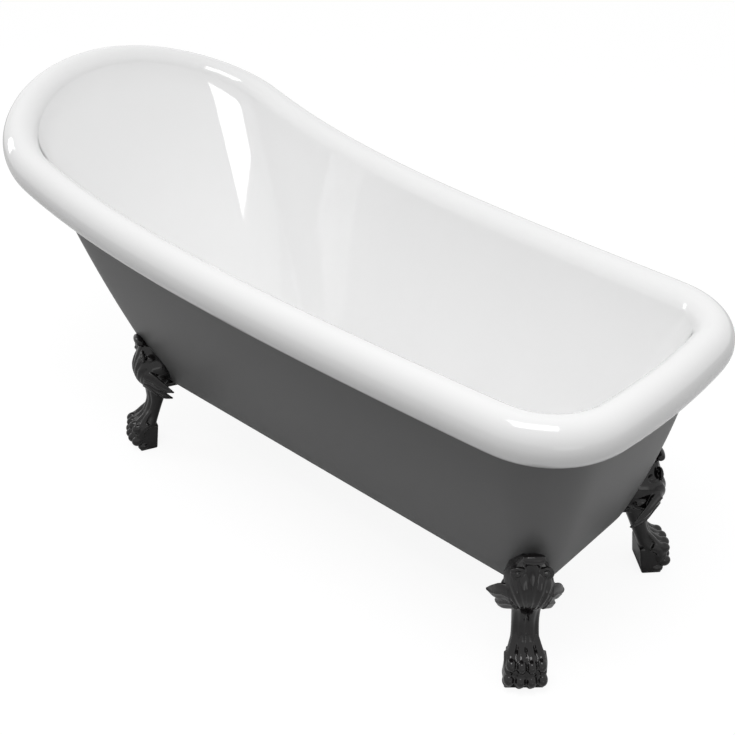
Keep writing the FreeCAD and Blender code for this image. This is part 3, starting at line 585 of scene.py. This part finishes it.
for place, drop in ((-27, 4), (-16, 1), (-5.5, 0), (5.5, 0), (16, 1), (27, 4)):
    swept(smooth_path([(19 - abs(place) * 0.25, place, 186),
                       (22 - abs(place) * 0.3, place * 0.95, 176 + drop),
                       (15 - abs(place) * 0.2, place * 0.86, 163 + drop)], 10),
          [(4.4 - 0.35 * k, 5.2 - 0.42 * k) for k in range(10)])

# Scroll on top: the leaf rolls forward over the ribs, its ends thinner than its middle.
swept([(7.5, 4.5 * k, 270 - 0.09 * k * k) for k in range(-4, 5)],
      [(10 - 0.2 * k * k, 10 - 0.2 * k * k) for k in range(-4, 5)], 28)
ball((1, 0, 262), (11, 14, 9))

# One voxel skin over everything, lightly smoothed and level underneath, is the casting's
# surface.
bmesh.ops.recalc_face_normals(mould, faces=mould.faces)
data = bpy.data.meshes.new("mould")
mould.to_mesh(data)
mould.free()
blank = bpy.data.objects.new("mould", data)
scene.collection.objects.link(blank)
melt = blank.modifiers.new("melt", "REMESH")
melt.mode = "VOXEL"
melt.voxel_size = 0.0015
soften = blank.modifiers.new("soften", "SMOOTH")
soften.factor = 0.5
soften.iterations = 2
data = bpy.data.meshes.new_from_object(
    blank.evaluated_get(bpy.context.evaluated_depsgraph_get()))
bpy.data.objects.remove(blank)
casting = bmesh.new()
casting.from_mesh(data)
for vert in casting.verts:
    vert.co.z = max(vert.co.z, 0.0003)
casting.to_mesh(data)
casting.free()

# The four feet stand on the bath's diagonals, cut to hug the skin, and bored for the
# levelling screws with a recess for their pads.
foot_paint = finish("foot_black", (0.0075, 0.0064, 0.0068), 0.11, coat=0.12, specular=0.34,
                    spot=60, shade=0.3, rough_spread=0.05, grain=230, relief=0.08)
mesh = bmesh.new()
lofted(mesh, [skin_ring(0.3, np.full(len(rim_line), 157.8 + 16 * step)) for step in range(11)],
       caps=True)
hug = cutter(mesh)
feet = []
for name, heel_x, heel_y, turn in (("head_left", -390, 199, 114), ("head_right", -390, -199, -114),
                                   ("foot_left", 648, 194, 47), ("foot_right", 648, -194, -47)):
    spin = Matrix.Rotation(math.radians(turn), 4, "Z")
    heel = Vector((heel_x, heel_y, 0))
    screw_axis = heel + spin @ Vector((22, 0, 0))
    shape = data.copy()
    shape.transform(Matrix.Translation(heel * 0.001) @ spin)
    shape.materials.clear()
    shape.materials.append(foot_paint)
    foot = bpy.data.objects.new("cast_foot_" + name, shape)
    scene.collection.objects.link(foot)
    mesh = bmesh.new()
    spun(mesh, [(0, -10), (15, -10), (15, 6), (5.1, 6.01), (5.1, 50), (0, 50)], screw_axis)
    bore = cutter(mesh)
    trimmed(foot, [hug, bore], sharp=40, solver="MANIFOLD")
    bpy.data.objects.remove(bore)
    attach(foot, "bath")
    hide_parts("claw_foot_" + name)
    feet.append((name, heel, spin, screw_axis))
bpy.data.objects.remove(hug)

# Levelling pads in black nylon and zinc-plated M10 screws, up inside the paws: turning a
# screw lowers its pad out of the recess in the sole.
nylon = finish("pad_nylon", (0.035, 0.035, 0.035), 0.55, spot=120, shade=0.15, grain=1600,
               relief=0.08)
steel = finish("steel_zinc", (0.50, 0.50, 0.51), 0.34, metal=1, spot=160, shade=0.12,
               grain=1800, relief=0.05)
for name, heel, spin, screw_axis in feet:
    mesh = bmesh.new()
    spun(mesh, [(0, 0), (12.6, 0), (13.6, 0.5), (14, 1.4), (14, 3.8), (13.2, 5), (8.2, 5),
                (7.4, 4.2), (5.9, 4.2), (5.3, 4.8), (5.3, 2), (0, 2)], screw_axis)
    piece("pad_" + name, mesh, nylon, "pad_" + name, "pad", "leveller_pad_" + name)
    thread = [(0, 2), (4.1, 2), (4.4, 3)]
    for step in range(26):
        low = 4 + 1.5 * step
        thread += [(4.3, low), (4.98, low + 0.55), (4.98, low + 0.8), (4.3, low + 1.35)]
    thread += [(4.4, 45), (3.9, 46), (0, 46)]
    mesh = bmesh.new()
    spun(mesh, thread, screw_axis, steps=40)
    piece("screw_" + name, mesh, steel, "screw_" + name, "steel", "leveller_screw_" + name)


# Foot bolts, washers and nuts, zinc-plated M8, two to a foot: up through the lug, the
# skin's bottom and the base board.
def hexagon(mesh, at, flats, low, high, bore=0.0):
    """Hexagonal head or nut with its corners chamfered, and a bore where it has one."""
    part = bmesh.new()
    across = flats / math.sqrt(3) * 0.001
    bmesh.ops.create_cone(part, cap_ends=not bore, segments=6, radius1=across,
                          radius2=across, depth=(high - low) * 0.001,
                          matrix=Matrix.Translation(UP * (low + high) * 0.0005))
    if bore:
        spun(part, [(bore, high), (bore, low)], (0, 0, 0), steps=24)
        filled(part, low)
        filled(part, high)
    corners = {edge for edge in part.edges
               if all(vert.co.xy.length > across * 0.99 for vert in edge.verts)}
    bmesh.ops.bevel(part, geom=list(corners), offset=flats * 0.00003, segments=2, profile=0.5,
                    affect="EDGES", material=-1)
    bmesh.ops.translate(part, vec=at * 0.001, verts=part.verts)
    joined(mesh, part)


bolts, washers, nuts = bmesh.new(), bmesh.new(), bmesh.new()
for name, heel, spin, screw_axis in feet:
    for inwards in (70, 92):
        at = heel + spin @ Vector((-inwards, 0, 0))
        hexagon(bolts, at, 13, 142.7, 148)
        spun(bolts, [(0, 147.9), (4, 147.9), (4, 188.4), (3.3, 191), (0, 191)], at, steps=24)
        spun(washers, [(4.4, 180), (8.2, 180), (8.4, 180.2), (8.4, 181.4), (8.2, 181.6),
                       (4.4, 181.6), (4.4, 180)], at, steps=32)
        hexagon(nuts, at, 13, 181.6, 188.1, bore=4.1)
piece("bolts", bolts, steel, "bath", "steel", "foot_bolts", sharp=25)
piece("washers", washers, steel, "bath", "steel", "foot_washers", sharp=25)
piece("nuts", nuts, steel, "bath", "steel", "foot_nuts", sharp=25)

# Base board: pressed wood chips, cut to the skin's inside, which spreads the load of the
# basin's floor over the feet's bolts.
board_wood = finish("board_chips", (0.48, 0.34, 0.20), 0.72, specular=0.2, spot=220, shade=0.35,
                    grain=500, relief=0.25, stretch=(0.35, 1, 1))
for place in bpy.data.objects["base_board"].material_slots:
    place.material = board_wood

# Waste: a polished flange clamps the floor between two rubber seals with a brass lock nut
# on its plain tail, and a white moulded body hangs from it over the drain.
chrome = finish("chrome_polished", (0.80, 0.80, 0.81), 0.06, metal=1, spot=90, shade=0.03,
                rough_spread=0.02, grain=2400, relief=0.01)
rubber = finish("rubber_black", (0.018, 0.018, 0.018), 0.75, specular=0.3, spot=80, shade=0.2,
                grain=1500, relief=0.10)
brass = finish("brass_turned", (0.62, 0.45, 0.20), 0.28, metal=1, spot=70, shade=0.10,
               grain=900, relief=0.06, stretch=(1, 1, 8))
fitting = finish("fitting_white", (0.74, 0.74, 0.72), 0.38, spot=50, shade=0.03, grain=1200,
                 relief=0.03)
INLET_HEIGHT = 146  # of the waste body's side inlet, where the overflow's pipe comes in


def turned(name, profile, paint, body, slot, node, base=WASTE, axis=UP, steps=64):
    """One spun piece; a profile that starts on the axis makes a solid, else a ring."""
    mesh = bmesh.new()
    spun(mesh, profile + ([] if profile[0][0] == 0 else profile[:1]), base, axis, steps)
    return piece(name, mesh, paint, body, slot, node, sharp=30)


def rods(mesh, places, size, bevel):
    """Square bars with softened edges at places, each a matrix."""
    for place in places:
        made = bmesh.ops.create_cube(mesh, size=1, matrix=place @ Matrix.Diagonal((*size, 1)))
        edges = {edge for vert in made["verts"] for edge in vert.link_edges}
        bmesh.ops.bevel(mesh, geom=list(edges), offset=bevel, segments=2, profile=0.5,
                        affect="EDGES", material=-1)


mesh = bmesh.new()
spun(mesh, [(18, 146), (21, 146), (21, 190), (34.2, 190), (35, 190.6), (34.6, 191.8),
            (32, 192.8), (28, 193), (20.5, 193), (18.6, 192.2), (18, 190.5), (18, 146)])
spun(mesh, [(3.65, 173), (7, 173), (7, 177), (3.65, 177), (3.65, 173)], steps=32)
rods(mesh, [Matrix.Translation((WASTE[0] / 1000, 0, 0.175))
            @ Matrix.Rotation(math.pi / 2 * number, 4, "Z")
            @ Matrix.Translation((0.0126, 0, 0)) for number in range(4)],
     (0.012, 0.003, 0.004), 0.0006)
piece("flange", mesh, chrome, "bath", "chrome", "waste_flange")
turned("seal_upper", [(21.4, 188), (33.4, 188), (34, 188.5), (34, 189.5), (33.4, 190),
                      (21.4, 190)], rubber, "bath", "rubber", "waste_upper_seal")
turned("seal_lower", [(21.4, 178), (28.6, 178), (29, 178.5), (29, 179.5), (28.6, 180),
                      (21.4, 180)], rubber, "bath", "rubber", "waste_lower_seal")
mesh = bmesh.new()
hexagon(mesh, Vector(WASTE), 55.4, 169, 178, bore=21.4)
piece("lock_nut", mesh, brass, "bath", "brass", "waste_lock_nut", sharp=25)
cup = [(21.4, 166), (26.2, 166), (27, 165.2), (27, 158)]
for step in range(6):
    cup += [(27, 156 - 5 * step), (26.2, 155.2 - 5 * step), (26.2, 153.2 - 5 * step),
            (27, 152.4 - 5 * step)]
cup += [(26.4, 126), (22, 124.6), (20, 122), (20, 93), (19.2, 91), (17, 91), (17, 130),
        (21.4, 130), (21.4, 166)]
mesh = bmesh.new()
spun(mesh, cup)
spun(mesh, [(10.3, 24), (12, 24), (12, 40), (13, 41), (13, 43), (10.3, 43), (10.3, 24)],
     (WASTE[0], 0, INLET_HEIGHT), (1, 0, 0), 40)
piece("waste_cup", mesh, fitting, "bath", "fitting", "waste_body")

# Click-clack plug: a domed chrome cap on its soft seal, and a brass stem that slides in
# the flange's hub. Pressed, it springs up 10 mm.
turned("plug_cap", [(0, 195), (26, 195), (28.4, 195.4), (29, 196.4), (28.8, 198.4),
                    (27.4, 199.8), (24, 200.5), (16, 200.85), (8, 200.98), (0, 201)],
       chrome, "plug", "chrome", "waste_plug", steps=96)
turned("plug_ring", [(3.8, 193), (25.2, 193), (26, 193.6), (26, 194.4), (25.2, 195),
                     (3.8, 195)], rubber, "plug", "rubber", "plug_seal")
turned("stem", [(0, 163), (2.8, 163), (3.5, 163.8), (3.5, 168), (3.1, 168.4), (3.1, 169.4),
                (3.5, 169.8), (3.5, 195), (0, 195)], brass, "plug", "brass", "plug_stem",
       steps=40)


# Overflow: a chrome cover with bars over the hole in the foot-end wall, screwed into a
# white collector behind it, and a grey pipe down to the waste's side inlet.
def behind(depth, down=0.0):
    """Place behind the wall's wet face, and down along it, in millimetres."""
    return overflow_face + through * depth + down_wall * down


gap = 2.5
mesh = bmesh.new()
spun(mesh, [(14, -gap - 2), (14, 15.5), (18, 15.5), (18, -0.8), (31, -0.8), (33, -gap),
            (32.8, -gap - 2.6), (31, -gap - 4.2), (27, -gap - 5), (17.6, -gap - 5),
            (16.6, -gap - 4.6), (16, -gap - 3.4), (16, -gap - 2), (14, -gap - 2)],
     behind(0), through)
tilt = UP.rotation_difference(through).to_matrix().to_4x4()
for number in range(5):
    offset = 6.2 * (number - 2)
    half_bar = math.sqrt(16.4 ** 2 - offset ** 2)
    rods(mesh, [Matrix.Translation(behind(-gap - 3.2, offset) * 0.001) @ tilt],
         (0.0026, 0.002 * half_bar, 0.0026), 0.0007)
piece("overflow_grille", mesh, chrome, "bath", "chrome", "overflow_cover")
turned("overflow_ring", [(18.6, 8.5), (24.6, 8.5), (25, 9), (25, 10), (24.6, 10.5),
                         (18.6, 10.5)], rubber, "bath", "rubber", "overflow_seal",
       behind(0), through)
mesh = bmesh.new()
spun(mesh, [(18.4, 10.5), (24.4, 10.5), (25, 11.2), (25, 24.5), (23.6, 26.3), (20, 26.5),
            (0, 26.5), (0, 23.5), (18.4, 23.5), (18.4, 10.5)], behind(0), through)
spun(mesh, [(10.3, 16), (12.6, 16), (12.6, 36), (13, 36.6), (13, 40), (10.3, 40), (10.3, 16)],
     behind(25.5), down_wall, 40)
piece("collector", mesh, fitting, "bath", "fitting", "overflow_collector")
start = behind(25.5, 26)
bend = start + down_wall * ((start.z - 178) / -down_wall.z)
line = smooth_path([tuple(place) for place in (
    start, bend + (start - bend) * 0.12, bend, (bend.x - 6, 0, bend.z - 15),
    (bend.x - 15, 0, 151), (bend.x - 26, 0, INLET_HEIGHT), (501, 0, INLET_HEIGHT))], 90)
sideways = Vector((0, 1, 0))
circle = [2 * math.pi * step / 28 for step in range(28)]
rings = []
for reach, places, facing in ((10, line, 1), (8, line[::-1], -1)):
    for index, place in enumerate(places):
        ahead = Vector(places[min(index + 1, len(places) - 1)]
                       - places[max(index - 1, 0)]).normalized()
        across = ahead.cross(sideways).normalized() * facing
        rings.append([Vector(place) + sideways * (reach * math.sin(turn))
                      + across * (reach * math.cos(turn)) for turn in circle])
pipe_grey = finish("pipe_grey", (0.30, 0.30, 0.31), 0.45, spot=60, shade=0.05, grain=900,
                   relief=0.04)
mesh = bmesh.new()
lofted(mesh, rings + rings[:1])
piece("pipe", mesh, pipe_grey, "bath", "pipe", "overflow_pipe")
mesh = bmesh.new()
for base, axis in ((behind(25.5, 40), down_wall),
                   (Vector((513, 0, INLET_HEIGHT)), Vector((1, 0, 0)))):
    spun(mesh, [(10.4, 0), (14.4, 0), (15, 0.8), (15, 11), (13.4, 13), (11.6, 14), (10.4, 14),
                (10.4, 0)], base, axis, 12)
piece("compression_caps", mesh, fitting, "bath", "fitting", "pipe_nuts")
